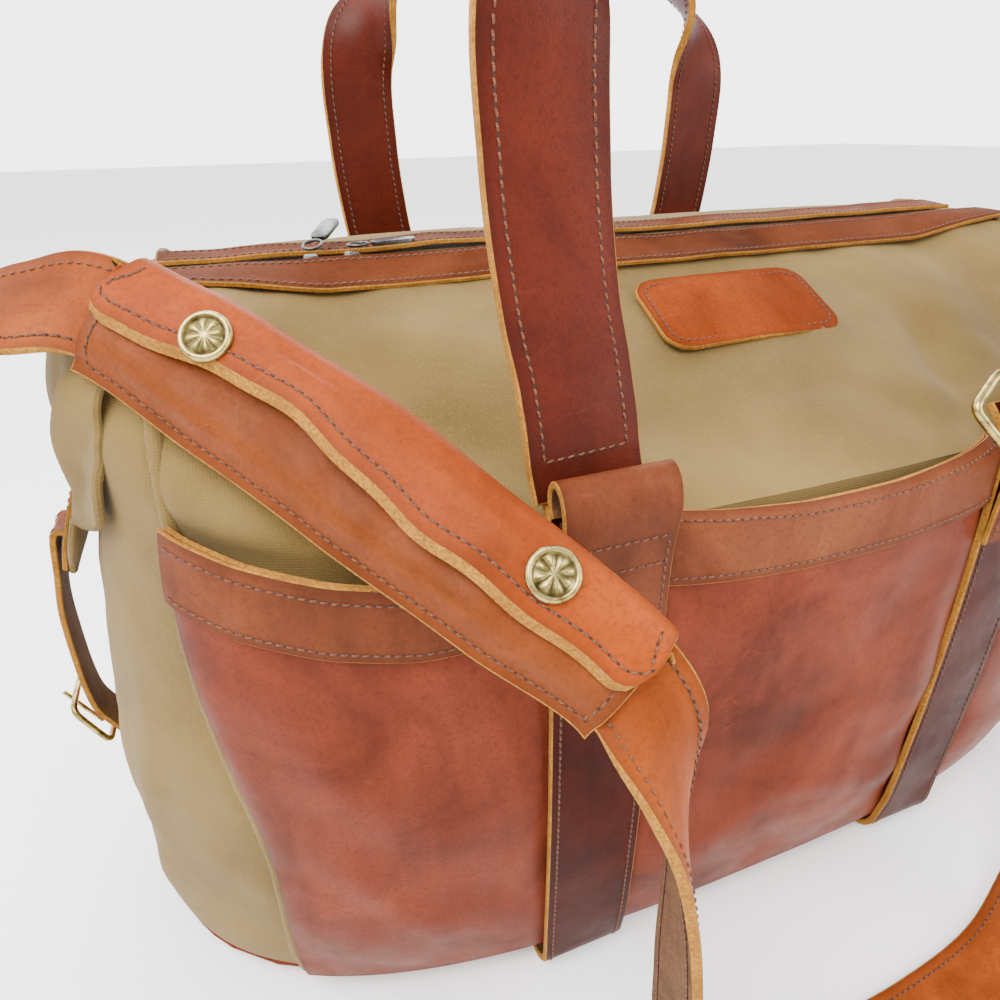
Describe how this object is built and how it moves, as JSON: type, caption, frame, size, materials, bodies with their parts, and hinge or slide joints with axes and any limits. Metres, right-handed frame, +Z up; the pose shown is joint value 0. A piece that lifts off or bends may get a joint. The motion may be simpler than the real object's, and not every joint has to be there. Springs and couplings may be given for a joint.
{
  "type": "doctor bag",
  "caption": "Zip-top canvas and leather holdall with fold-down end wings, outer pockets, carry handles and a padded leather shoulder strap.",
  "frame": {"origin": "on the floor under the middle of the bag, where the base panel rests", "axes": "+X along the bag towards its right end, +Y from the front to the back, +Z up"},
  "size_m": [0.6598, 0.4021, 0.4543],
  "materials": {
    "canvas": "heavy waxed canvas, matt woven",
    "saddle_leather": "smooth tan leather, semi-gloss, raw gold edges",
    "oxblood_leather": "smooth red-brown leather, semi-gloss",
    "board": "matt stiffener board",
    "zip_tape": "woven tape",
    "antique_brass": "antique brass, softly polished",
    "gunmetal": "dark plated metal"
  },
  "bodies": {
    "bag": {"canvas_front": "canvas", "pocket_front_left": "oxblood_leather", "band_front_left": "saddle_leather", "pocket_front_centre": "oxblood_leather", "band_front_centre": "saddle_leather", "pocket_front_right": "oxblood_leather", "band_front_right": "saddle_leather", "handle_tab_front_left": "saddle_leather", "handle_tab_front_right": "saddle_leather", "zip_facing_front": "saddle_leather", "zip_tape_front": "zip_tape", "canvas_back": "canvas", "pocket_back_left": "oxblood_leather", "band_back_left": "saddle_leather", "pocket_back_centre": "oxblood_leather", "band_back_centre": "saddle_leather", "pocket_back_right": "oxblood_leather", "band_back_right": "saddle_leather", "handle_tab_back_left": "saddle_leather", "handle_tab_back_right": "saddle_leather", "zip_facing_back": "saddle_leather", "zip_tape_back": "zip_tape", "end_panel_left": "canvas", "wing_left": "canvas", "wing_strip_left": "saddle_leather", "base_strap_left": "oxblood_leather", "end_strap_left": "saddle_leather", "buckle_tab_left": "saddle_leather", "end_buckle_left": "antique_brass", "d_tab_left": "saddle_leather", "end_panel_right": "canvas", "wing_right": "canvas", "wing_strip_right": "saddle_leather", "base_strap_right": "oxblood_leather", "end_strap_right": "saddle_leather", "buckle_tab_right": "saddle_leather", "end_buckle_right": "antique_brass", "d_tab_right": "saddle_leather", "base_panel": "oxblood_leather", "base_board": "board", "shoulder_strap_long": "saddle_leather", "shoulder_strap_short": "saddle_leather", "adjuster_buckle": "antique_brass", "pad_back": "saddle_leather", "leather_patch": "saddle_leather"},
    "front_handle": {"handle_front": "saddle_leather"},
    "back_handle": {"handle_back": "saddle_leather"},
    "left_slider": {"zip_slider_left": "gunmetal"},
    "right_slider": {"zip_slider_right": "gunmetal"},
    "left_pull": {"zip_ring_left": "gunmetal", "zip_pull_left": "gunmetal"},
    "right_pull": {"zip_ring_right": "gunmetal", "zip_pull_right": "gunmetal"},
    "left_prong": {"end_prong_left": "antique_brass"},
    "right_prong": {"end_prong_right": "antique_brass"},
    "left_d_ring": {"d_ring_left": "antique_brass"},
    "right_d_ring": {"d_ring_right": "antique_brass"},
    "pad_cover": {"pad_flap": "saddle_leather", "snap_cap_upper": "antique_brass", "snap_cap_lower": "antique_brass"}
  },
  "joints": [
    {"name": "handle_front_swing", "type": "hinge", "parent": "bag", "child": "front_handle", "pos_m": [0, -0.133, 0.2665], "axis": [1, 0, 0], "range_deg": [-52, 20]},
    {"name": "handle_back_swing", "type": "hinge", "parent": "bag", "child": "back_handle", "pos_m": [0, 0.143, 0.2665], "axis": [1, 0, 0], "range_deg": [-85, 30]},
    {"name": "zip_left_slide", "type": "slide", "parent": "bag", "child": "left_slider", "axis": [1, 0, 0], "range_m": [-0.05, 0]},
    {"name": "zip_right_slide", "type": "slide", "parent": "bag", "child": "right_slider", "axis": [1, 0, 0], "range_m": [0, 0.354]},
    {"name": "pull_left_tilt", "type": "hinge", "parent": "left_slider", "child": "left_pull", "pos_m": [-0.163, 0.016, 0.3096], "axis": [0.848, -0.53, 0], "range_deg": [-6, 100]},
    {"name": "pull_right_tilt", "type": "hinge", "parent": "right_slider", "child": "right_pull", "pos_m": [-0.145, 0.016, 0.3096], "axis": [0, 1, 0], "range_deg": [-80, 0]},
    {"name": "prong_left_open", "type": "hinge", "parent": "bag", "child": "left_prong", "pos_m": [-0.3005, 0.006, 0.0895], "axis": [0, -1, 0], "range_deg": [0, 75]},
    {"name": "prong_right_open", "type": "hinge", "parent": "bag", "child": "right_prong", "pos_m": [0.3005, 0.006, 0.0895], "axis": [0, 1, 0], "range_deg": [0, 75]},
    {"name": "d_ring_left_swing", "type": "hinge", "parent": "bag", "child": "left_d_ring", "pos_m": [-0.273, 0.002, 0.293], "axis": [0, 1, 0], "range_deg": [-12, 12]},
    {"name": "d_ring_right_swing", "type": "hinge", "parent": "bag", "child": "right_d_ring", "pos_m": [0.273, 0.002, 0.293], "axis": [0, 1, 0], "range_deg": [-12, 12]},
    {"name": "pad_flap_open", "type": "hinge", "parent": "bag", "child": "pad_cover", "pos_m": [-0.1502, -0.1286, 0.2801], "axis": [-0.5952, 0.6718, 0.4411], "range_deg": [0, 110]}
  ]
}
